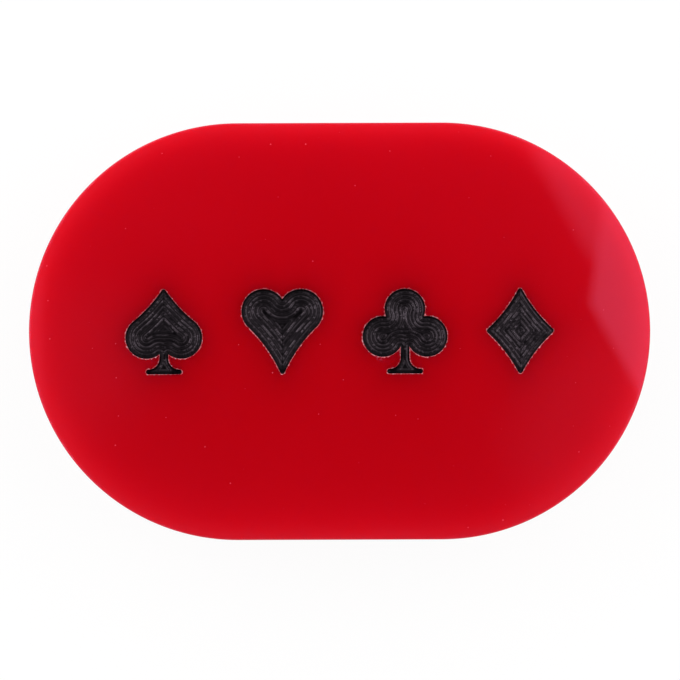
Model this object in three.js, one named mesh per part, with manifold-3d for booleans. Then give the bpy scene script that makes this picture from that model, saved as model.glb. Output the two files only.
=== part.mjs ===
// All-in button for a card table: a thick, polished block of translucent red acrylic with half-round
// ends. Both faces carry the same engraved row of four playing-card suits, and a coat of black enamel
// lies on the floor of each engraving. Millimetres, +Z up, origin at the centre of the underside.

import * as THREE from "three";
import { mergeVertices } from "three/addons/utils/BufferGeometryUtils.js";
import Module from "manifold-3d";

// Acrylic block
const BODY_LENGTH = 76; // along X, over the half-round ends
const BODY_WIDTH = 51; // along Y, and the diameter of the ends
const BODY_THICKNESS = 20; // along Z
const EDGE_RADIUS = 0.6; // rim of each face, rolled over by polishing

// Engraving, cut with a fine cutter
const POCKET_DEPTH = 0.8;
const CUTTER_RADIUS = 0.3; // rounds every tip of the engraved outlines
const MARK_HEIGHT = 10.4; // along Y, the same for all four suits
const MARK_GAP = 4.8; // between neighbouring suits in a row

// Enamel coat in each engraving
const ENAMEL_THICKNESS = 0.35;
const ENAMEL_CLEARANCE = 0.05; // from the edge of the coat to the wall of the engraving

// Spade
const SPADE_WIDTH = 9.4;
const SPADE_LOBE_OVERLAP = 0.9; // of the two lobes, across the middle
const SPADE_LOBE_RISE = 1.9; // from the foot of the stem to the underside of the lobes

// Heart
const HEART_WIDTH = 10;
const HEART_LOBE_OVERLAP = 0.9;

// Club
const CLUB_WIDTH = 10.4;
const CLUB_LOBE_RADIUS = 2.5;
const CLUB_LOBE_OVERLAP = 0.7; // of the top lobe with each side lobe

// Diamond
const DIAMOND_WIDTH = 8.2;

// Shared by the suits
const SIDE_RADIUS = 18; // the long sides of the spade, heart and diamond curve in a little
const STEM_WIDTH = 1.1;
const STEM_FLARE_RADIUS = 1.35; // from the stem out to the foot

// Fineness of the curves; an arc has two segments to a step
const BODY_ARC_STEPS = 24;
const MARK_ARC_STEPS = 4;
const EDGE_STEPS = 4;

const HALF_TURN = Math.PI;
const QUARTER_TURN = Math.PI / 2;

const wasm = await Module();
wasm.setup();

// A closed geometry as a solid that can be cut
function solidOf(geometry) {
  const bare = geometry.clone();
  bare.deleteAttribute("normal");
  bare.deleteAttribute("uv");
  const merged = mergeVertices(bare);
  return new wasm.Manifold(
    new wasm.Mesh({
      numProp: 3,
      vertProperties: merged.attributes.position.array,
      triVerts: new Uint32Array(merged.index.array),
    }),
  );
}

// A cut solid as a geometry with flat shading
function geometryOf(solid) {
  const { vertProperties, triVerts } = solid.getMesh();
  const indexed = new THREE.BufferGeometry();
  indexed.setAttribute("position", new THREE.BufferAttribute(vertProperties, 3));
  indexed.setIndex(new THREE.BufferAttribute(triVerts, 1));
  const geometry = indexed.toNonIndexed();
  geometry.computeVertexNormals();
  return geometry;
}

// The outline of each suit is centred on the origin and runs counter-clockwise, arc after arc, with
// straight lines between arcs that don't meet. An inset draws it that much smaller all round.

const TOP = MARK_HEIGHT / 2;
const FOOT = -MARK_HEIGHT / 2;

function corner(x, y, radius) {
  return { x, y, radius };
}

function angle(from, to) {
  return Math.atan2(to.y - from.y, to.x - from.x);
}

function addCorner(outline, { x, y, radius }, inset, start, end) {
  outline.absarc(x, y, radius - inset, start, end);
}

// Centre of the side that curves in between two round corners and touches both
function sideCentre(first, second) {
  const span = Math.hypot(second.x - first.x, second.y - first.y);
  const alongX = (second.x - first.x) / span;
  const alongY = (second.y - first.y) / span;
  const firstReach = SIDE_RADIUS + first.radius;
  const secondReach = SIDE_RADIUS + second.radius;
  const along = (firstReach ** 2 - secondReach ** 2 + span ** 2) / (2 * span);
  const out = Math.sqrt(firstReach ** 2 - along ** 2);
  return {
    x: first.x + along * alongX + out * alongY,
    y: first.y + along * alongY - out * alongX,
  };
}

function addSide(outline, centre, first, second, inset) {
  const start = angle(centre, first);
  const end = angle(centre, second);
  outline.absarc(centre.x, centre.y, SIDE_RADIUS + inset, start, end, true);
}

// Two equal lobes that overlap across the middle, as the radius and the offset of each
function pairedLobes(width, overlap) {
  const radius = (width + overlap) / 4;
  return { radius, offset: width / 2 - radius };
}

const FOOT_X = STEM_WIDTH / 2 + STEM_FLARE_RADIUS;
const FLARE_Y = FOOT + 2 * CUTTER_RADIUS + STEM_FLARE_RADIUS;

function addRightFoot(outline, inset) {
  const end = corner(FOOT_X, FOOT + CUTTER_RADIUS, CUTTER_RADIUS);
  addCorner(outline, end, inset, -QUARTER_TURN, QUARTER_TURN);
  outline.absarc(FOOT_X, FLARE_Y, STEM_FLARE_RADIUS + inset, -QUARTER_TURN, HALF_TURN, true);
}

function addLeftFoot(outline, inset) {
  const end = corner(-FOOT_X, FOOT + CUTTER_RADIUS, CUTTER_RADIUS);
  outline.absarc(-FOOT_X, FLARE_Y, STEM_FLARE_RADIUS + inset, 0, -QUARTER_TURN, true);
  addCorner(outline, end, inset, QUARTER_TURN, -QUARTER_TURN);
}

// Where the stem runs into the right-hand lobe, as an angle on that lobe
function stemAngle(lobe, inset) {
  return -Math.acos((STEM_WIDTH / 2 - inset - lobe.x) / (lobe.radius - inset));
}

function spade(inset) {
  const { radius, offset } = pairedLobes(SPADE_WIDTH, SPADE_LOBE_OVERLAP);
  const lobeY = FOOT + SPADE_LOBE_RISE + radius;
  const right = corner(offset, lobeY, radius);
  const left = corner(-offset, lobeY, radius);
  const tip = corner(0, TOP - CUTTER_RADIUS, CUTTER_RADIUS);
  const rightSide = sideCentre(right, tip);
  const leftSide = sideCentre(tip, left);
  const stem = stemAngle(right, inset);
  const outline = new THREE.Shape();
  addRightFoot(outline, inset);
  addCorner(outline, right, inset, stem, angle(right, rightSide));
  addSide(outline, rightSide, right, tip, inset);
  addCorner(outline, tip, inset, angle(tip, rightSide), angle(tip, leftSide));
  addSide(outline, leftSide, tip, left, inset);
  addCorner(outline, left, inset, angle(left, leftSide), HALF_TURN - stem);
  addLeftFoot(outline, inset);
  return outline;
}

function heart(inset) {
  const { radius, offset } = pairedLobes(HEART_WIDTH, HEART_LOBE_OVERLAP);
  const right = corner(offset, TOP - radius, radius);
  const left = corner(-offset, TOP - radius, radius);
  const tip = corner(0, FOOT + CUTTER_RADIUS, CUTTER_RADIUS);
  const rightSide = sideCentre(tip, right);
  const leftSide = sideCentre(left, tip);
  const notch = Math.acos(offset / (radius - inset));
  const outline = new THREE.Shape();
  addCorner(outline, tip, inset, angle(tip, leftSide), angle(tip, rightSide));
  addSide(outline, rightSide, tip, right, inset);
  addCorner(outline, right, inset, angle(right, rightSide), HALF_TURN - notch);
  addCorner(outline, left, inset, notch, angle(left, leftSide));
  addSide(outline, leftSide, left, tip, inset);
  return outline;
}

function club(inset) {
  const radius = CLUB_LOBE_RADIUS;
  const offset = CLUB_WIDTH / 2 - radius;
  const spacing = 2 * radius - CLUB_LOBE_OVERLAP;
  const top = corner(0, TOP - radius, radius);
  const sideY = top.y - Math.sqrt(spacing ** 2 - offset ** 2);
  const right = corner(offset, sideY, radius);
  const left = corner(-offset, sideY, radius);
  const stem = stemAngle(right, inset);
  // Where two lobes meet, measured round either of them from the line between their centres
  const meet = Math.acos(spacing / 2 / (radius - inset));
  const outline = new THREE.Shape();
  addRightFoot(outline, inset);
  addCorner(outline, right, inset, stem, angle(right, top) - meet);
  addCorner(outline, top, inset, angle(top, right) + meet, angle(top, left) - meet);
  addCorner(outline, left, inset, angle(left, top) + meet, HALF_TURN - stem);
  addLeftFoot(outline, inset);
  return outline;
}

function diamond(inset) {
  const tipX = DIAMOND_WIDTH / 2 - CUTTER_RADIUS;
  const tipY = TOP - CUTTER_RADIUS;
  const tips = [
    corner(tipX, 0, CUTTER_RADIUS),
    corner(0, tipY, CUTTER_RADIUS),
    corner(-tipX, 0, CUTTER_RADIUS),
    corner(0, -tipY, CUTTER_RADIUS),
  ];
  const outline = new THREE.Shape();
  let sideBefore = sideCentre(tips.at(-1), tips[0]);
  tips.forEach((tip, i) => {
    const next = tips[(i + 1) % tips.length];
    const sideAfter = sideCentre(tip, next);
    addCorner(outline, tip, inset, angle(tip, sideBefore), angle(tip, sideAfter));
    addSide(outline, sideAfter, tip, next, inset);
    sideBefore = sideAfter;
  });
  return outline;
}

// The row of suits, each with the X of its centre, spaced by the gap and centred on the block
function rowOfMarks() {
  const marks = [
    { name: "spade", width: SPADE_WIDTH, outline: spade },
    { name: "heart", width: HEART_WIDTH, outline: heart },
    { name: "club", width: CLUB_WIDTH, outline: club },
    { name: "diamond", width: DIAMOND_WIDTH, outline: diamond },
  ];
  const gaps = MARK_GAP * (marks.length - 1);
  const length = marks.reduce((sum, mark) => sum + mark.width, gaps);
  let left = -length / 2;
  for (const mark of marks) {
    mark.x = left + mark.width / 2;
    left += mark.width + MARK_GAP;
  }
  return marks;
}

// A suit's outline raised into a slab that stands on Z = 0
function slab(mark, inset, height) {
  return new THREE.ExtrudeGeometry(mark.outline(inset), {
    depth: height,
    bevelEnabled: false,
    curveSegments: MARK_ARC_STEPS,
  });
}

// The uncut block, with its rims rolled over
function blank() {
  const radius = BODY_WIDTH / 2 - EDGE_RADIUS;
  const straight = (BODY_LENGTH - BODY_WIDTH) / 2;
  const outline = new THREE.Shape();
  outline.absarc(straight, 0, radius, -QUARTER_TURN, QUARTER_TURN);
  outline.absarc(-straight, 0, radius, QUARTER_TURN, -QUARTER_TURN);
  const geometry = new THREE.ExtrudeGeometry(outline, {
    depth: BODY_THICKNESS - 2 * EDGE_RADIUS,
    bevelThickness: EDGE_RADIUS,
    bevelSize: EDGE_RADIUS,
    bevelSegments: EDGE_STEPS,
    curveSegments: BODY_ARC_STEPS,
  });
  return geometry.translate(0, 0, EDGE_RADIUS);
}

// The engraved floor of a face, as a group whose +Z points out of that face. The rear one is turned
// about X, so that the block shows the same row the same way up when it is turned over.
function engravedFloor(isRear) {
  const floor = new THREE.Group();
  floor.position.z = isRear ? POCKET_DEPTH : BODY_THICKNESS - POCKET_DEPTH;
  floor.rotation.x = isRear ? HALF_TURN : 0;
  floor.updateMatrix();
  return floor;
}

const marks = rowOfMarks();
const faces = [
  { name: "front", floor: engravedFloor(false) },
  { name: "rear", floor: engravedFloor(true) },
];

// The block with all its engravings, each cut by a tool that starts as far outside as it goes in
function engravedBlock() {
  let block = solidOf(blank());
  for (const { floor } of faces) {
    for (const mark of marks) {
      const tool = slab(mark, 0, 2 * POCKET_DEPTH);
      tool.translate(mark.x, 0, 0);
      tool.applyMatrix4(floor.matrix);
      block = block.subtract(solidOf(tool));
    }
  }
  return geometryOf(block);
}

const acrylic = new THREE.MeshStandardMaterial({ color: "#b8030f", roughness: 0.05 });
const enamel = new THREE.MeshStandardMaterial({ color: "#17181b", roughness: 0.3 });

const button = new THREE.Group();

const body = new THREE.Mesh(engravedBlock(), acrylic);
body.name = "acrylic_body";
button.add(body);

for (const { name, floor } of faces) {
  for (const mark of marks) {
    const coat = new THREE.Mesh(slab(mark, ENAMEL_CLEARANCE, ENAMEL_THICKNESS), enamel);
    coat.name = `${name}_${mark.name}_enamel`;
    coat.position.x = mark.x;
    floor.add(coat);
  }
  button.add(floor);
}

export default button;
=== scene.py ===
"""All-in button: a polished block of translucent red acrylic with an engraved row of card suits on both
faces, each filled with black enamel. It lies on a pale floor in soft studio light, seen from above."""

import cmath
import math

import bmesh
import bpy
import numpy as np
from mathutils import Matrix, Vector, geometry, noise


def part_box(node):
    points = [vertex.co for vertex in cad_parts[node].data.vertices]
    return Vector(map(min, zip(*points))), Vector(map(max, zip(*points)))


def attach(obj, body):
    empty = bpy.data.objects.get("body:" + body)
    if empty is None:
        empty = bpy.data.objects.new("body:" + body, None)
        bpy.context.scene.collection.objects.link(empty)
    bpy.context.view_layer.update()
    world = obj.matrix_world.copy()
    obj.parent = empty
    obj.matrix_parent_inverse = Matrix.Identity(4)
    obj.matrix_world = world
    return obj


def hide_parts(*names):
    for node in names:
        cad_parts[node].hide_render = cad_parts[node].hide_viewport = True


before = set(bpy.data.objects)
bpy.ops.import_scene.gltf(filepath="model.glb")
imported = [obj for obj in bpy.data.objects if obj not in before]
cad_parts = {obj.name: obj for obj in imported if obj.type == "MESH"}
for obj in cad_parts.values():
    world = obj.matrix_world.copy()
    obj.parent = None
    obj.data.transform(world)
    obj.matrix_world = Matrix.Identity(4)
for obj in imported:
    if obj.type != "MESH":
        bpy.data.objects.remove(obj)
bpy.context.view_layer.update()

# All lengths are in millimetres and become metres when an object is made
MM = 0.001


def box_mm(node):
    low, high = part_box(node)
    return np.array(low) / MM, np.array(high) / MM


# Block
BODY_LOW, BODY_HIGH = box_mm("acrylic_body")
BODY_LENGTH, BODY_WIDTH, BODY_THICKNESS = BODY_HIGH - BODY_LOW
RIM_RADIUS = 0.25  # of the crisp edge that polishing left round each face
RIM_LIP = 0.1  # flat strip inside the rim, which keeps the shading of the face flat
RIM_STEPS = 10
END_STEPS = 120  # over a half-round end
FACE_GRID = 0.9  # between the points of a flat face

# Engraving
ENAMEL_CLEARANCE = 0.05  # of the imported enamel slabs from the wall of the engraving
SLAB_LOW, SLAB_HIGH = box_mm("front_spade_enamel")
POCKET_DEPTH = BODY_THICKNESS - SLAB_LOW[2]
MARK_HEIGHT = SLAB_HIGH[1] - SLAB_LOW[1] + 2 * ENAMEL_CLEARANCE
CUTTER_RADIUS = 0.3
WALL_DRAFT = 0.08  # how far the wall leans in at the floor
CHIP_WIDTH = 0.14  # widest chipping along the edge of the engraving
CHIP_LEAST = 0.05  # narrowest, as a share of the widest
CHIP_DEPTH = 0.09
CHIP_DEPTH_LEAST = 0.7  # share of the depth where the chipping is narrowest
CHIP_DEPTH_GAIN = 0.6  # further share where it is widest
CHIP_LENGTH = 0.3  # of a chip along the edge

# Paint in the engraving
PAINT_DEPTH = BODY_THICKNESS - SLAB_HIGH[2]  # from the face down to the paint
PAINT_GAP = 0.01  # between the paint's skin and the acrylic
PAINT_WALL = 0.23  # how far in from the wall the paint on it reaches the floor
PAINT_EDGE_DEPTH = 0.12  # from the face down to where the paint on the wall ends
PAINT_EDGE_WANDER = 0.04
PAINT_EDGE_SEED = 1.0
CUTTER_STEP = 0.46  # between neighbouring passes of the cutter, side by side
RIDGE_HEIGHT = 0.057  # left between passes
RIDGE_SHARPNESS = 3
RIDGE_WANDER = 0.4  # share by which a ridge is higher or lower along its length
RIDGE_LENGTH = 1.3  # of a high or low stretch
RIDGE_SEED = 2.0
PASS_WANDER = 0.03  # how far one pass lies below or above the next
BRUSH_WANDER = 0.02  # unevenness of the coat
BRUSH_LENGTH = 0.9
RINGS_PER_STEP = 4  # rows of points across one pass of the cutter
SNAPS_PER_RING = 4  # cells to the width of a row; points that share a cell become one

# Suits
SPADE_WIDTH = 9.4
SPADE_LOBE_OVERLAP = 0.9
SPADE_LOBE_RISE = 1.9
HEART_WIDTH = 10.0
HEART_LOBE_OVERLAP = 0.9
CLUB_WIDTH = 10.4
CLUB_LOBE_RADIUS = 2.5
CLUB_LOBE_OVERLAP = 0.7
DIAMOND_WIDTH = 8.2
SIDE_RADIUS = 18.0
STEM_WIDTH = 1.1
STEM_FLARE_RADIUS = 1.35
POINT_SPACING = 0.09
LEAST_STEPS = 6  # of an arc

# Meshes
SAME_POINT = 1e-6
WELD_DISTANCE = 0.001
WHOLE_HULL = 0  # kind of triangulation: all the triangles between the points
TRIANGLE_LIMIT = 1e-7
SHARP_EDGE = math.radians(30)
PAINT_SHARP_EDGE = math.radians(50)

# Photograph: the size of the frame, and the plaque's place, length and turn in it
IMAGE_PX = 680
PHOTO_CENTRE_PX = (339.6, 331.3)
PHOTO_LENGTH_PX = 621.3
PHOTO_TURN = 0.0034
CAMERA_HEIGHT = 550.0  # above the front face
SENSOR_WIDTH = 36.0


# Outlines of the suits

TAU = math.tau
QUARTER = math.pi / 2
TOP = MARK_HEIGHT / 2
FOOT = -MARK_HEIGHT / 2


def arc(centre, radius, start, end, clockwise=False):
    """An arc as its centre, radius, first angle and signed sweep. Points are complex numbers."""
    sweep = -((start - end) % TAU) if clockwise else (end - start) % TAU
    return centre, radius, start, sweep


def angle(start, end):
    return cmath.phase(end - start)


def side_centre(first, first_radius, second, second_radius):
    """Centre of the side that curves in between two round corners and touches both."""
    way = second - first
    span = abs(way)
    reach = SIDE_RADIUS + first_radius
    along = (reach**2 - (SIDE_RADIUS + second_radius) ** 2 + span**2) / (2 * span)
    out = math.sqrt(reach**2 - along**2)
    return first + way / span * complex(along, -out)


def side(centre, first, second, inset):
    return arc(centre, SIDE_RADIUS + inset, angle(centre, first), angle(centre, second), True)


def paired_lobes(width, overlap):
    """Radius of a pair of round lobes, and how far each lies from the middle."""
    radius = (width + overlap) / 4
    return radius, width / 2 - radius


def right_foot(inset):
    x = STEM_WIDTH / 2 + STEM_FLARE_RADIUS
    end = complex(x, FOOT + CUTTER_RADIUS)
    flare = complex(x, FOOT + 2 * CUTTER_RADIUS + STEM_FLARE_RADIUS)
    return [
        arc(end, CUTTER_RADIUS - inset, -QUARTER, QUARTER),
        arc(flare, STEM_FLARE_RADIUS + inset, -QUARTER, math.pi, True),
    ]


def left_foot(inset):
    x = -STEM_WIDTH / 2 - STEM_FLARE_RADIUS
    end = complex(x, FOOT + CUTTER_RADIUS)
    flare = complex(x, FOOT + 2 * CUTTER_RADIUS + STEM_FLARE_RADIUS)
    return [
        arc(flare, STEM_FLARE_RADIUS + inset, 0.0, -QUARTER, True),
        arc(end, CUTTER_RADIUS - inset, QUARTER, -QUARTER),
    ]


def stem_angle(offset, radius, inset):
    """Where the stem runs into the right-hand lobe, as an angle on that lobe."""
    return -math.acos((STEM_WIDTH / 2 - inset - offset) / (radius - inset))


def spade(inset):
    radius, offset = paired_lobes(SPADE_WIDTH, SPADE_LOBE_OVERLAP)
    right = complex(offset, FOOT + SPADE_LOBE_RISE + radius)
    left = complex(-offset, right.imag)
    tip = complex(0, TOP - CUTTER_RADIUS)
    right_side = side_centre(right, radius, tip, CUTTER_RADIUS)
    left_side = side_centre(tip, CUTTER_RADIUS, left, radius)
    stem = stem_angle(offset, radius, inset)
    return [
        *right_foot(inset),
        arc(right, radius - inset, stem, angle(right, right_side)),
        side(right_side, right, tip, inset),
        arc(tip, CUTTER_RADIUS - inset, angle(tip, right_side), angle(tip, left_side)),
        side(left_side, tip, left, inset),
        arc(left, radius - inset, angle(left, left_side), math.pi - stem),
        *left_foot(inset),
    ]


def heart(inset):
    radius, offset = paired_lobes(HEART_WIDTH, HEART_LOBE_OVERLAP)
    right = complex(offset, TOP - radius)
    left = complex(-offset, TOP - radius)
    tip = complex(0, FOOT + CUTTER_RADIUS)
    right_side = side_centre(tip, CUTTER_RADIUS, right, radius)
    left_side = side_centre(left, radius, tip, CUTTER_RADIUS)
    notch = math.acos(offset / (radius - inset))
    return [
        arc(tip, CUTTER_RADIUS - inset, angle(tip, left_side), angle(tip, right_side)),
        side(right_side, tip, right, inset),
        arc(right, radius - inset, angle(right, right_side), math.pi - notch),
        arc(left, radius - inset, notch, angle(left, left_side)),
        side(left_side, left, tip, inset),
    ]


def club(inset):
    radius = CLUB_LOBE_RADIUS
    offset = CLUB_WIDTH / 2 - radius
    spacing = 2 * radius - CLUB_LOBE_OVERLAP
    top = complex(0, TOP - radius)
    right = complex(offset, top.imag - math.sqrt(spacing**2 - offset**2))
    left = complex(-offset, right.imag)
    stem = stem_angle(offset, radius, inset)
    meet = math.acos(spacing / 2 / (radius - inset))
    return [
        *right_foot(inset),
        arc(right, radius - inset, stem, angle(right, top) - meet),
        arc(top, radius - inset, angle(top, right) + meet, angle(top, left) - meet),
        arc(left, radius - inset, angle(left, top) + meet, math.pi - stem),
        *left_foot(inset),
    ]


def diamond(inset):
    tip_x = DIAMOND_WIDTH / 2 - CUTTER_RADIUS
    tip_y = TOP - CUTTER_RADIUS
    tips = [complex(tip_x, 0), complex(0, tip_y), complex(-tip_x, 0), complex(0, -tip_y)]
    arcs = []
    for i, tip in enumerate(tips):
        following = tips[(i + 1) % len(tips)]
        before = side_centre(tips[i - 1], CUTTER_RADIUS, tip, CUTTER_RADIUS)
        after = side_centre(tip, CUTTER_RADIUS, following, CUTTER_RADIUS)
        arcs.append(arc(tip, CUTTER_RADIUS - inset, angle(tip, before), angle(tip, after)))
        arcs.append(side(after, tip, following, inset))
    return arcs


SUITS = {"spade": spade, "heart": heart, "club": club, "diamond": diamond}


def sampled(arcs, steps):
    return np.concatenate(
        [
            centre + radius * np.exp(1j * (start + sweep * np.linspace(0, 1, count + 1)))
            for (centre, radius, start, sweep), count in zip(arcs, steps)
        ]
    )


def outline(suit, inset=0.0):
    """Points of a suit's outline, counter-clockwise, drawn smaller by the inset. Their number is the same
    at any inset, so two outlines of a suit can be joined point by point."""
    whole = suit(0.0)
    steps = [max(LEAST_STEPS, math.ceil(abs(sweep) * r / POINT_SPACING)) for _, r, _, sweep in whole]
    nominal = sampled(whole, steps)
    apart = abs(nominal - np.roll(nominal, 1)) > SAME_POINT
    return sampled(suit(inset), steps)[apart]


def stadium(inset):
    """The block's outline, counter-clockwise, drawn smaller by the inset."""
    radius = BODY_WIDTH / 2 - inset
    straight = (BODY_LENGTH - BODY_WIDTH) / 2
    turn = np.linspace(-QUARTER, QUARTER, END_STEPS + 1)
    right = straight + radius * np.exp(1j * turn)
    return np.concatenate([right, -right])


# Mesh making


class Skin:
    """Points and faces of a mesh in the making, seen from outside a face of the block: +Z points out of
    the face, and Z = 0 is the face itself."""

    def __init__(self):
        self.points = []
        self.faces = []
        self.zones = []

    def add(self, places, z):
        """Adds points and returns their indices."""
        first = len(self.points)
        heights = np.broadcast_to(z, len(places))
        self.points.extend((p.real, p.imag, h) for p, h in zip(places, heights))
        return np.arange(first, len(self.points))

    def band(self, first, second, zone=0):
        """Joins two rings. Going round the first, the second lies to the left, or above."""
        for a, b, c, d in zip(first, np.roll(first, -1), np.roll(second, -1), second):
            self.faces.append((a, b, c, d))
            self.zones.append(zone)

    def fill(self, border, holes=(), loose=(), up=True, zone=0):
        """Fills the area inside a border with triangles, round the holes and through the loose points."""
        loops = [border, *holes]
        used = np.concatenate([*loops, np.array(loose, int)])
        flat = [Vector(self.points[i][:2]) for i in used]
        edges = []
        first = 0
        for loop in loops:
            count = len(loop)
            edges += [(first + i, first + (i + 1) % count) for i in range(count)]
            first += count
        _, _, faces, sources, _, _ = geometry.delaunay_2d_cdt(flat, edges, [], WHOLE_HULL, TRIANGLE_LIMIT)
        places = np.array([complex(*p[:2]) for p in self.points])
        triangles = used[np.array([[sources[i][0] for i in face] for face in faces])]
        a, b, c = places[triangles].T
        turn = ((b - a).conj() * (c - a)).imag
        triangles[turn < 0] = triangles[turn < 0][:, ::-1]
        middle = (a + b + c) / 3
        kept = inside(middle, places[border]) & (turn != 0)
        for hole in holes:
            kept &= ~inside(middle, places[hole])
        for triangle in triangles[kept]:
            self.faces.append(tuple(triangle if up else triangle[::-1]))
            self.zones.append(zone)

    def placed(self, rear, x=0.0):
        """The points in the block's frame, on the front face or, turned over about X, on the rear one."""
        points = np.array(self.points) + (x, 0, 0)
        if rear:
            return points * (1, -1, -1)
        return points + (0, 0, BODY_THICKNESS)


def inside(places, border):
    """Which places lie inside a closed outline."""
    ahead = np.roll(border, -1)
    crossing = (border.imag > places.imag[:, None]) != (ahead.imag > places.imag[:, None])
    rise = np.where(ahead.imag == border.imag, 1, ahead.imag - border.imag)
    share = (places.imag[:, None] - border.imag) / rise
    left = places.real[:, None] < border.real + share * (ahead.real - border.real)
    return (crossing & left).sum(axis=1) % 2 == 1


def nearest(places, border):
    """Distance of each place from an outline, and the point of the outline that it is measured to."""
    run = np.roll(border, -1) - border
    share = ((places[:, None] - border) * run.conj()).real / abs(run) ** 2
    feet = border + np.clip(share, 0, 1) * run
    distance = abs(places[:, None] - feet)
    best = distance.argmin(axis=1)
    rows = np.arange(len(places))
    return distance[rows, best], feet[rows, best]


def wander(places, length, seed=0.0):
    """Smooth noise between about -1 and 1 that changes over the given length."""
    return np.array([noise.noise((p.real / length, p.imag / length, seed)) for p in places])


def grid(border, step):
    """Places inside an outline, in rows, every other row shifted by half a step."""
    left, right = border.real.min(), border.real.max()
    low, high = border.imag.min(), border.imag.max()
    columns, rows = np.meshgrid(np.arange(left, right, step), np.arange(low, high, step))
    columns[1::2] += step / 2
    places = (columns + 1j * rows).ravel()
    return places[inside(places, border)]


SHARE = "share"  # a number at each point of a mesh, for its material: the painted shade in the block, the fade of a panel


def make_object(name, points, faces, materials, zones=None, shares=None, sharp=SHARP_EDGE):
    """An object whose faces are shaded smooth, apart from edges at least as sharp as the given angle."""
    mesh = bpy.data.meshes.new(name)
    mesh.from_pydata(np.asarray(points) * MM, [], [tuple(map(int, f)) for f in faces])
    for material in materials:
        mesh.materials.append(material)
    if zones is not None:
        mesh.polygons.foreach_set("material_index", zones)
    if shares is not None:
        mesh.attributes.new(SHARE, "FLOAT", "POINT").data.foreach_set("value", shares)
    shape = bmesh.new()
    shape.from_mesh(mesh)
    bmesh.ops.remove_doubles(shape, verts=shape.verts, dist=WELD_DISTANCE * MM)
    for face in shape.faces:
        face.smooth = True
    for edge in shape.edges:
        edge.smooth = edge.calc_face_angle(0.0) < sharp
    shape.to_mesh(mesh)
    shape.free()
    piece = bpy.data.objects.new(name, mesh)
    bpy.context.scene.collection.objects.link(piece)
    return piece


# The acrylic block

POLISHED = 0
CHIPPED = 1
PAINTED_SHADE_DEPTH = 0.2  # painted shade: share of the light in the acrylic that the paint takes away, at the edge of a mark
PAINTED_SHADE_REACH = 2.6  # from the mark, where it has fallen to about a third


def mark_x(suit_name):
    low, high = box_mm(f"front_{suit_name}_enamel")
    return (low[0] + high[0]) / 2


def add_pocket(skin, suit, x):
    """One engraving, from its chipped mouth in the face down to its floor. Returns the mouth."""
    wall = outline(suit)
    wide = outline(suit, -CHIP_WIDTH)
    chip = np.clip(0.5 + wander(wall + x, CHIP_LENGTH), 0, 1)
    share = CHIP_LEAST + (1 - CHIP_LEAST) * chip
    mouth = skin.add(wall + share * (wide - wall) + x, 0.0)
    lip = skin.add(wall + x, -CHIP_DEPTH * (CHIP_DEPTH_LEAST + CHIP_DEPTH_GAIN * chip))
    floor = skin.add(outline(suit, WALL_DRAFT) + x, -POCKET_DEPTH)
    skin.band(mouth, lip, CHIPPED)
    skin.band(lip, floor, CHIPPED)
    skin.fill(floor, zone=CHIPPED)
    return mouth


def mark_distance(places):
    """Distance from the nearest mark's outline."""
    return np.min([nearest(places, outline(suit) + mark_x(name))[0] for name, suit in SUITS.items()], axis=0)


def face_places():
    """Places over the flat face, clear of the marks and of the rim."""
    places = grid(stadium(RIM_RADIUS + RIM_LIP + FACE_GRID / 2), FACE_GRID)
    for name, suit in SUITS.items():
        places = places[~inside(places, outline(suit) + mark_x(name))]
    return places[mark_distance(places) > CHIP_WIDTH + FACE_GRID / 3]


def half_block():
    """The front half of the block: the engraved face, its rounded rim and half the height of the wall."""
    skin = Skin()
    mouths = [add_pocket(skin, suit, mark_x(name)) for name, suit in SUITS.items()]
    loose = skin.add(face_places(), 0.0)
    rings = [skin.add(stadium(RIM_RADIUS + RIM_LIP), 0.0)]
    for turn in np.linspace(0, QUARTER, RIM_STEPS + 1):
        inset = RIM_RADIUS * (1 - math.sin(turn))
        rings.append(skin.add(stadium(inset), -RIM_RADIUS * (1 - math.cos(turn))))
    rings.append(skin.add(stadium(0.0), -BODY_THICKNESS / 2))
    skin.fill(rings[0], mouths, loose)
    for upper, lower in zip(rings, rings[1:]):
        skin.band(lower, upper, POLISHED)
    return skin


def make_block(acrylic, chipped):
    """Both halves of the block as one piece. Its shares are the painted shade that the paint casts in the
    acrylic.
    """
    skin = half_block()
    points = np.concatenate([skin.placed(False), skin.placed(True)])
    rear_faces = [tuple(i + len(skin.points) for i in face) for face in skin.faces]
    places = np.array([complex(x, y) for x, y, _ in skin.points])
    shares = np.tile(PAINTED_SHADE_DEPTH * np.exp(-mark_distance(places) / PAINTED_SHADE_REACH), 2)
    return make_object(
        "red_block", points, skin.faces + rear_faces, [acrylic, chipped], skin.zones * 2, shares
    )


# The enamel


def paint_height(depth, places):
    """Height of the paint's skin above the engraved floor, from its distance to the wall: it coats the
    wall and follows the ridges that the cutter left between its passes."""
    coat = POCKET_DEPTH - PAINT_DEPTH
    climb = (PAINT_DEPTH - PAINT_EDGE_DEPTH) * np.clip(1 - depth / PAINT_WALL, 0, 1)
    passes = depth / CUTTER_STEP
    ridge = RIDGE_HEIGHT * abs(2 * (passes % 1) - 1) ** RIDGE_SHARPNESS
    ridge *= 1 + RIDGE_WANDER * wander(places, RIDGE_LENGTH, RIDGE_SEED)
    ridge += PASS_WANDER * wander(np.floor(passes) + 0.5, 1.0)
    return coat + climb + ridge + BRUSH_WANDER * wander(places, BRUSH_LENGTH)


def paint_places(border):
    """Points over the paint, drawn onto lines that run along the wall, as the cutter did."""
    step = CUTTER_STEP / RINGS_PER_STEP
    places = grid(border, step)
    depth, feet = nearest(places, border)
    wanted = np.round(depth / step) * step
    kept = (wanted > 0) & (depth > 0)
    moved = feet[kept] + (places - feet)[kept] / depth[kept] * wanted[kept]
    coarse = np.round(moved * SNAPS_PER_RING / step)
    _, first = np.unique(coarse, return_index=True)
    return moved[np.sort(first)]


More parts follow.
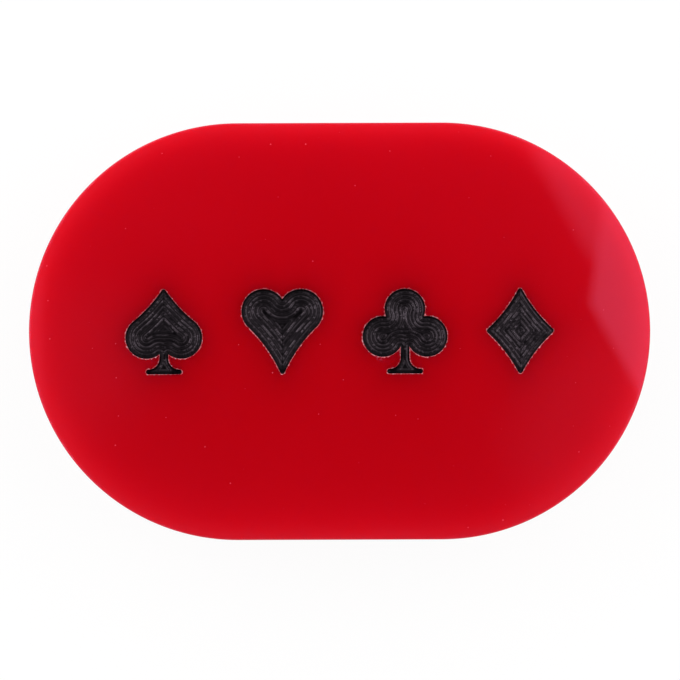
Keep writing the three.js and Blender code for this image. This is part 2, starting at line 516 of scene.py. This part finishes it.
def paint_skin(suit):
    """The paint in one mark: its uneven upper side, the side against the wall and the one on the floor."""
    skin = Skin()
    border = outline(suit, PAINT_GAP)
    edge_depth = PAINT_EDGE_DEPTH + PAINT_EDGE_WANDER * wander(border, CHIP_LENGTH, PAINT_EDGE_SEED)
    edge = skin.add(border, -edge_depth)
    places = paint_places(border)
    depth, _ = nearest(places, border)
    loose = skin.add(places, paint_height(depth, places) - POCKET_DEPTH)
    foot = skin.add(outline(suit, WALL_DRAFT + PAINT_GAP), PAINT_GAP - POCKET_DEPTH)
    skin.fill(edge, loose=loose)
    skin.band(foot, edge)
    skin.fill(foot, up=False)
    return skin


def make_paint(name, suit, rear, enamel):
    face = "rear" if rear else "front"
    skin = paint_skin(suit)
    points = skin.placed(rear, mark_x(name))
    piece = make_object(f"{face}_{name}_paint", points, skin.faces, [enamel], sharp=PAINT_SHARP_EDGE)
    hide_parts(f"{face}_{name}_enamel")
    return piece


# Shader nodes

NOISE_SPAN = (0.3, 0.7)  # in which nearly all of a noise texture lies
WHOLE_SPAN = (0.0, 1.0)
WHITE = (1, 1, 1, 1)
MIX_SHARE, MIX_FIRST, MIX_SECOND, MIX_RESULT = 0, 6, 7, 2  # sockets of a node that mixes colours


def new_material(name):
    material = bpy.data.materials.new(name)
    material.use_nodes = True
    material.node_tree.nodes.clear()
    return material, material.node_tree


def add_node(tree, kind, inputs=None, **settings):
    """A node with its settings made, and its inputs set to values or joined to other nodes' outputs."""
    node = tree.nodes.new(kind)
    for key, value in settings.items():
        setattr(node, key, value)
    for key, value in (inputs or {}).items():
        if isinstance(value, bpy.types.NodeSocket):
            tree.links.new(value, node.inputs[key])
        else:
            node.inputs[key].default_value = value
    return node


def finish_material(tree, shader):
    add_node(tree, "ShaderNodeOutputMaterial", {"Surface": shader})


def principled(tree, inputs):
    return add_node(tree, "ShaderNodeBsdfPrincipled", inputs).outputs["BSDF"]


def mix_shaders(tree, share, first, second):
    mix = add_node(tree, "ShaderNodeMixShader", {0: share, 1: first, 2: second})
    return mix.outputs["Shader"]


def emission(tree, level):
    return add_node(tree, "ShaderNodeEmission", {"Color": WHITE, "Strength": level}).outputs["Emission"]


def object_places(tree, stretch=(1, 1, 1), shift=(0, 0, 0)):
    """Places on the object, in millimetres, stretched along the axes and shifted."""
    texture = add_node(tree, "ShaderNodeTexCoord")
    scale = [s / MM for s in stretch]
    mapping = add_node(
        tree,
        "ShaderNodeMapping",
        {"Vector": texture.outputs["Object"], "Scale": scale, "Location": shift},
    )
    return mapping.outputs["Vector"]


def point_share(tree):
    return add_node(tree, "ShaderNodeAttribute", attribute_name=SHARE).outputs["Fac"]


def math_node(tree, operation, first, second=0.0):
    node = add_node(tree, "ShaderNodeMath", {0: first, 1: second}, operation=operation)
    return node.outputs["Value"]


def map_range(tree, value, span, target):
    """A value that goes from end to end of the target while the given one does so in its span."""
    inputs = {"Value": value, "From Min": span[0], "From Max": span[1]}
    inputs |= {"To Min": target[0], "To Max": target[1]}
    return add_node(tree, "ShaderNodeMapRange", inputs).outputs["Result"]


def noise_texture(tree, places, scale, detail=2.0):
    inputs = {"Vector": places, "Scale": scale, "Detail": detail}
    return add_node(tree, "ShaderNodeTexNoise", inputs).outputs["Fac"]


def noise_between(tree, places, scale, target, detail=2.0):
    """Noise spread over the target's range."""
    return map_range(tree, noise_texture(tree, places, scale, detail), NOISE_SPAN, target)


def mix_colours(tree, share, first, second):
    inputs = {MIX_SHARE: share, MIX_FIRST: first, MIX_SECOND: second}
    return add_node(tree, "ShaderNodeMix", inputs, data_type="RGBA").outputs[MIX_RESULT]


def bumped_normal(tree, height, strength, distance):
    inputs = {"Height": height, "Strength": strength, "Distance": distance * MM}
    return add_node(tree, "ShaderNodeBump", inputs).outputs["Normal"]


# Materials. A scale of noise is in waves to the millimetre

ACRYLIC_RED = (0.49, 0.0013, 0.0067, 1)
ACRYLIC_DEEP = (0.437, 0.0009, 0.0052, 1)
ACRYLIC_IOR = 1.49
CLOUD_LENGTH = 50.0  # over which the tone of the acrylic drifts
CLOUD_SHIFT_WITH_PAINTED_SHADE = (21, 203, 149)  # a stretch of the noise that is a little deeper towards -Y: painted shade on that side, over the acrylic's drifting tone
SCATTER_DEPTH = 9.0  # how far light spreads in the acrylic
SCATTER_SHARES = (1.0, 0.05, 0.06)  # of that depth, for red, green and blue
GLOSS_TINT = (1.0, 0.3, 0.6, 1)
SMEAR_SCALE = 0.12
SMEAR_DETAIL = 4.0
SMEAR_ROUGHNESS = (0.01, 0.025)

# Painted light in the colour, towards the rims and along the wall
PAINTED_GLOW_RED = (0.556, 0.0018, 0.0088, 1)
PAINTED_GLOW_REACH = 4.0  # how deep the painted glow shows: light that comes in through the wall, painted into the colour
PAINTED_EDGE_LIGHT_RED = (0.42, 0.0115, 0.025, 1)
PAINTED_EDGE_LIGHT_REACH = 0.9  # how deep the paler painted light at the rim reaches
PAINTED_SHADE_RED = (0.02, 0.0, 0.0005, 1)  # painted shade: colour of the acrylic where the paint keeps all light out

DUST_PINK = (0.85, 0.3, 0.36, 1)
DUST_CELL = 4.6  # one place for a speck of dust in each cell of this size
DUST_RADIUS = 0.09
DUST_SHARE = 0.5  # of the cells that hold a speck
DUST_COVER = 0.33  # share of the acrylic that a speck hides
DUST_ROUGHNESS = 0.4

FLAT_ENOUGH = 0.5  # square of the upright part of a flat face's normal, at least
WAVE_LENGTH = 1.4
WAVE_STRETCH = 0.06  # of the noise along Z, which sets the waves upright
WAVE_STRENGTH = 0.25
WAVE_HEIGHT = 0.02

CHIP_PINK = (0.6, 0.31, 0.36, 1)
FROST_SCALE = 5.0
FROST_SPAN = (-0.4, 1.0)  # shares of pink, of which those below 0 count as 0
CHIP_ROUGHNESS_SCALE = 8.0
CHIP_ROUGHNESS = (0.35, 0.7)

PAINT_BLACK = (0.001, 0.0008, 0.001, 1)
PAINT_GREY = (0.002, 0.0015, 0.0021, 1)
PAINT_TINT = (1.0, 0.8, 0.95, 1)
PAINT_GLOSS = 0.33
PAINT_ROUGHNESS_SCALE = 2.2
PAINT_ROUGHNESS = (0.05, 0.15)
STREAK_SCALE = 1.6
STREAK_DETAIL = 5.0
GRAIN_SCALE = 9.0
GRAIN_DETAIL = 3.0
GRAIN_STRENGTH = 0.2
GRAIN_HEIGHT = 0.02

FLOOR_PALE = (0.92, 0.92, 0.92, 1)
FLOOR_WHITENESS = 0.93  # share of plain white in the floor that is seen; the rest takes the shadow


def face_mask(tree):
    """1 on the two flat faces and 0 on the wall."""
    shape = add_node(tree, "ShaderNodeNewGeometry")
    normal = add_node(tree, "ShaderNodeSeparateXYZ", {"Vector": shape.outputs["True Normal"]})
    upright = math_node(tree, "MULTIPLY", normal.outputs["Z"], normal.outputs["Z"])
    return math_node(tree, "GREATER_THAN", upright, FLAT_ENOUGH)


def dust_mask(tree):
    """Specks of dust, 1 on a speck and 0 elsewhere, on the two faces."""
    cells = add_node(
        tree,
        "ShaderNodeTexVoronoi",
        {"Vector": object_places(tree), "Scale": 1 / DUST_CELL},
        voronoi_dimensions="2D",
    )
    chance = add_node(tree, "ShaderNodeSeparateColor", {"Color": cells.outputs["Color"]})
    reach = math_node(tree, "MULTIPLY", chance.outputs["Green"], DUST_RADIUS / DUST_CELL)
    near = math_node(tree, "LESS_THAN", cells.outputs["Distance"], reach)
    picked = math_node(tree, "LESS_THAN", chance.outputs["Red"], DUST_SHARE)
    speck = math_node(tree, "MULTIPLY", near, picked)
    return math_node(tree, "MULTIPLY", speck, face_mask(tree))


def painted_rim_light(tree, reach):
    """Mask of painted light: 1 at the rims of the two faces, less and less further in and further along the
    wall.
    """
    place = add_node(tree, "ShaderNodeSeparateXYZ", {"Vector": object_places(tree)})
    along = math_node(tree, "ABSOLUTE", place.outputs["X"])
    along = math_node(tree, "SUBTRACT", along, (BODY_LENGTH - BODY_WIDTH) / 2)
    along = math_node(tree, "MAXIMUM", along, 0.0)
    out = add_node(tree, "ShaderNodeCombineXYZ", {"X": along, "Y": place.outputs["Y"]})
    out = add_node(tree, "ShaderNodeVectorMath", {0: out.outputs["Vector"]}, operation="LENGTH")
    inward = math_node(tree, "SUBTRACT", BODY_WIDTH / 2, out.outputs["Value"])
    height = math_node(tree, "SUBTRACT", place.outputs["Z"], BODY_THICKNESS / 2)
    height = math_node(tree, "ABSOLUTE", height)
    along_wall = math_node(tree, "SUBTRACT", BODY_THICKNESS / 2, height)
    away = math_node(tree, "ADD", inward, along_wall)
    return math_node(tree, "EXPONENT", math_node(tree, "DIVIDE", away, -reach))


def wall_waves(tree):
    """Faint upright waves that polishing left on the wall."""
    waves = noise_texture(tree, object_places(tree, (1, 1, WAVE_STRETCH)), 1 / WAVE_LENGTH)
    on_wall = math_node(tree, "SUBTRACT", 1.0, face_mask(tree))
    strength = math_node(tree, "MULTIPLY", on_wall, WAVE_STRENGTH)
    return bumped_normal(tree, waves, strength, WAVE_HEIGHT)


def acrylic_colour(tree, dust):
    """Red that drifts in tone and is painted a little darker towards -Y, with painted light towards the
    rims, painted shade round the marks, and dust on it.
    """
    # painted shade: the noise's shift makes the acrylic a little darker towards -Y, over its random drift in
    # tone
    tone_and_painted_shade = noise_between(tree, object_places(tree, shift=CLOUD_SHIFT_WITH_PAINTED_SHADE), 1 / CLOUD_LENGTH, WHOLE_SPAN)
    red = mix_colours(tree, tone_and_painted_shade, ACRYLIC_DEEP, ACRYLIC_RED)
    # painted light: the acrylic lighter towards the rims and on the wall, as if lit through the wall
    red = mix_colours(tree, painted_rim_light(tree, PAINTED_GLOW_REACH), red, PAINTED_GLOW_RED)
    # painted light: a paler tint close to the rims and on the wall
    red = mix_colours(tree, painted_rim_light(tree, PAINTED_EDGE_LIGHT_REACH), red, PAINTED_EDGE_LIGHT_RED)
    # painted shade round the marks, by each point's share
    red = mix_colours(tree, point_share(tree), red, PAINTED_SHADE_RED)
    return mix_colours(tree, math_node(tree, "MULTIPLY", dust, DUST_COVER), red, DUST_PINK)


def acrylic_material():
    material, tree = new_material("red_acrylic")
    dust = dust_mask(tree)
    smear = noise_between(tree, object_places(tree), SMEAR_SCALE, SMEAR_ROUGHNESS, SMEAR_DETAIL)
    inputs = {
        "Base Color": acrylic_colour(tree, dust),
        "Roughness": math_node(tree, "ADD", smear, math_node(tree, "MULTIPLY", dust, DUST_ROUGHNESS)),
        "Normal": wall_waves(tree),
        "IOR": ACRYLIC_IOR,
        "Specular Tint": GLOSS_TINT,
        "Subsurface Weight": 1.0,
        "Subsurface Radius": SCATTER_SHARES,
        "Subsurface Scale": SCATTER_DEPTH * MM,
    }
    finish_material(tree, principled(tree, inputs))
    return material


def chipped_material():
    """Acrylic that the cutter left rough: frosted, pale and broken up."""
    material, tree = new_material("chipped_acrylic")
    places = object_places(tree)
    frost = noise_between(tree, places, FROST_SCALE, FROST_SPAN)
    inputs = {
        "Base Color": mix_colours(tree, frost, ACRYLIC_DEEP, CHIP_PINK),
        "Roughness": noise_between(tree, places, CHIP_ROUGHNESS_SCALE, CHIP_ROUGHNESS),
        "IOR": ACRYLIC_IOR,
    }
    finish_material(tree, principled(tree, inputs))
    return material


def enamel_material():
    """Black paint, streaked and grainy, with a gloss that varies."""
    material, tree = new_material("black_enamel")
    places = object_places(tree)
    streak = noise_between(tree, places, STREAK_SCALE, WHOLE_SPAN, STREAK_DETAIL)
    grain = noise_texture(tree, places, GRAIN_SCALE, GRAIN_DETAIL)
    inputs = {
        "Base Color": mix_colours(tree, streak, PAINT_BLACK, PAINT_GREY),
        "Roughness": noise_between(tree, places, PAINT_ROUGHNESS_SCALE, PAINT_ROUGHNESS),
        "Specular IOR Level": PAINT_GLOSS,
        "Specular Tint": PAINT_TINT,
        "Normal": bumped_normal(tree, grain, GRAIN_STRENGTH, GRAIN_HEIGHT),
    }
    finish_material(tree, principled(tree, inputs))
    return material


def floor_material():
    """Pale floor that shows as white, with a faint shadow."""
    material, tree = new_material("pale_floor")
    light = add_node(tree, "ShaderNodeLightPath")
    seen = math_node(tree, "ADD", light.outputs["Is Camera Ray"], light.outputs["Is Glossy Ray"])
    seen = math_node(tree, "ADD", seen, light.outputs["Is Transmission Ray"])
    share = math_node(tree, "MULTIPLY", seen, FLOOR_WHITENESS)
    pale = add_node(tree, "ShaderNodeBsdfDiffuse", {"Color": FLOOR_PALE})
    finish_material(tree, mix_shaders(tree, share, pale.outputs["BSDF"], emission(tree, 1.0)))
    return material


def panel_material(name, level):
    """Light of an even level, see-through where the panel fades."""
    material, tree = new_material(name)
    clear = add_node(tree, "ShaderNodeBsdfTransparent").outputs["BSDF"]
    finish_material(tree, mix_shaders(tree, point_share(tree), clear, emission(tree, level)))
    return material


# Stage

FLOOR_RADIUS = 3000.0
FLOOR_SIDES = 96
FLOOR_GAP = 0.05

# Lamps: place, size and power in watts
LAMP_TARGET = (0, 0, 10)
LAMPS = {
    "left_softbox": ((-330, 260, 380), (800, 400), 0.624),
    "right_softbox": ((330, 250, 380), (800, 400), 0.624),
    "left_strip": ((-600, 0, 900), (1200, 70), 2.0),
    "right_strip": ((600, 0, 900), (1200, 70), 1.75),
}

# Panels: centre and radius of the mirror image in the front face, width of the fading rim, turn in
# degrees, height above the face and level of light
PANEL_SIDES = 10
PANELS = {
    "right_panel": (complex(74.6, 12.3), 44.7, 1.6, 11, 550.0, 2.1),
    "rear_panel": (complex(46.0, 26.4), 22.6, 2.4, 11, 570.0, 1.1),
    "left_panel": (complex(-79.4, 0.0), 45.0, 1.5, 18, 550.0, 0.6),
    "front_right_panel": (complex(34.0, -13.0), 13.0, 8.0, 0, 580.0, 0.25),
    "front_left_panel": (complex(-33.0, -3.0), 9.0, 8.0, 0, 580.0, 0.2),
}

# World: its level at two angles from straight up, and the shares by which that is changed close to
# straight up, from the middle to the sides, and from the front to the back
SKY_ANGLES = (math.radians(8), math.radians(22))
SKY_LEVELS = (0.25, 0.95)
ZENITH_ANGLES = (math.radians(1.5), math.radians(5.5))
ZENITH_SHARES = (0.04, 1.0)
SIDE_SPAN = (0.1, 0.3)
SIDE_SHARES = (0.5, 1.0)
BACK_SPAN = (-1.0, 1.0)
BACK_SHARES = (0.45, 1.6)


def make_floor():
    skin = Skin()
    turns = np.linspace(0, TAU, FLOOR_SIDES, endpoint=False)
    rim = skin.add(FLOOR_RADIUS * np.exp(1j * turns), 0.0)
    skin.faces.append(tuple(rim))
    floor = make_object("floor", skin.points, skin.faces, [floor_material()])
    floor.location.z = -FLOOR_GAP * MM


def add_lamp(name, place, size, power):
    """A rectangular lamp that shines on the block and isn't seen by the camera."""
    data = bpy.data.lights.new(name, "AREA")
    data.shape = "RECTANGLE"
    data.size, data.size_y = [s * MM for s in size]
    data.energy = power
    lamp = bpy.data.objects.new(name, data)
    lamp.location = Vector(place) * MM
    lamp.rotation_mode = "QUATERNION"
    lamp.rotation_quaternion = (Vector(LAMP_TARGET) - Vector(place)).to_track_quat("-Z", "Y")
    lamp.visible_camera = False
    bpy.context.scene.collection.objects.link(lamp)


def add_panel(name, image, radius, fade, turn, height, level):
    """A ten-sided softbox that hangs face down, about as high as the camera, and fades towards its rim.
    Its place and size are given as those of its mirror image in the front face."""
    widening = 1 + height / CAMERA_HEIGHT
    corners = math.radians(turn) + np.linspace(0, TAU, PANEL_SIDES, endpoint=False)
    skin = Skin()
    inner, outer = [
        skin.add(widening * (image + reach * np.exp(1j * corners)), BODY_THICKNESS + height)
        for reach in (radius - fade / 2, radius + fade / 2)
    ]
    skin.faces.append(tuple(inner[::-1]))
    skin.band(inner, outer)
    shares = np.repeat([1.0, 0.0], PANEL_SIDES)
    panel = make_object(name, skin.points, skin.faces, [panel_material(name, level)], shares=shares)
    panel.visible_camera = False


def make_world():
    """Dark overhead, paler further down, at the sides and behind."""
    world = bpy.data.worlds.new("studio")
    world.use_nodes = True
    tree = world.node_tree
    tree.nodes.clear()
    texture = add_node(tree, "ShaderNodeTexCoord")
    ray = add_node(tree, "ShaderNodeSeparateXYZ", {"Vector": texture.outputs["Generated"]})
    tilt = math_node(tree, "ARCCOSINE", ray.outputs["Z"])
    sideways = math_node(tree, "ABSOLUTE", ray.outputs["X"])
    strength = map_range(tree, tilt, SKY_ANGLES, SKY_LEVELS)
    for share in (
        map_range(tree, sideways, SIDE_SPAN, SIDE_SHARES),
        map_range(tree, ray.outputs["Y"], BACK_SPAN, BACK_SHARES),
        map_range(tree, tilt, ZENITH_ANGLES, ZENITH_SHARES),
    ):
        strength = math_node(tree, "MULTIPLY", strength, share)
    sky = add_node(tree, "ShaderNodeBackground", {"Color": WHITE, "Strength": strength})
    add_node(tree, "ShaderNodeOutputWorld", {"Surface": sky.outputs["Background"]})
    bpy.context.scene.world = world


def make_camera():
    """Straight above the plaque, with the plaque as large as in the photograph and in the same place."""
    px_per_mm = PHOTO_LENGTH_PX / BODY_LENGTH
    outline_distance = CAMERA_HEIGHT + RIM_RADIUS
    data = bpy.data.cameras.new("camera")
    data.sensor_width = SENSOR_WIDTH
    data.lens = SENSOR_WIDTH * px_per_mm / IMAGE_PX * outline_distance
    camera = bpy.data.objects.new("camera", data)
    x = (IMAGE_PX / 2 - PHOTO_CENTRE_PX[0]) / px_per_mm
    y = (PHOTO_CENTRE_PX[1] - IMAGE_PX / 2) / px_per_mm
    camera.location = Vector((x, y, BODY_THICKNESS + CAMERA_HEIGHT)) * MM
    camera.rotation_euler = (0, 0, -PHOTO_TURN)
    bpy.context.scene.collection.objects.link(camera)
    bpy.context.scene.camera = camera


def make_stage():
    make_camera()
    make_world()
    for name, lamp in LAMPS.items():
        add_lamp(name, *lamp)
    for name, panel in PANELS.items():
        add_panel(name, *panel)
    make_floor()


def main():
    make_stage()
    block = make_block(acrylic_material(), chipped_material())
    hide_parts("acrylic_body")
    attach(block, "root")
    enamel = enamel_material()
    for rear in (False, True):
        for name, suit in SUITS.items():
            paint = make_paint(name, suit, rear, enamel)
            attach(paint, "root")
    bpy.context.scene.view_settings.view_transform = "Standard"


main()
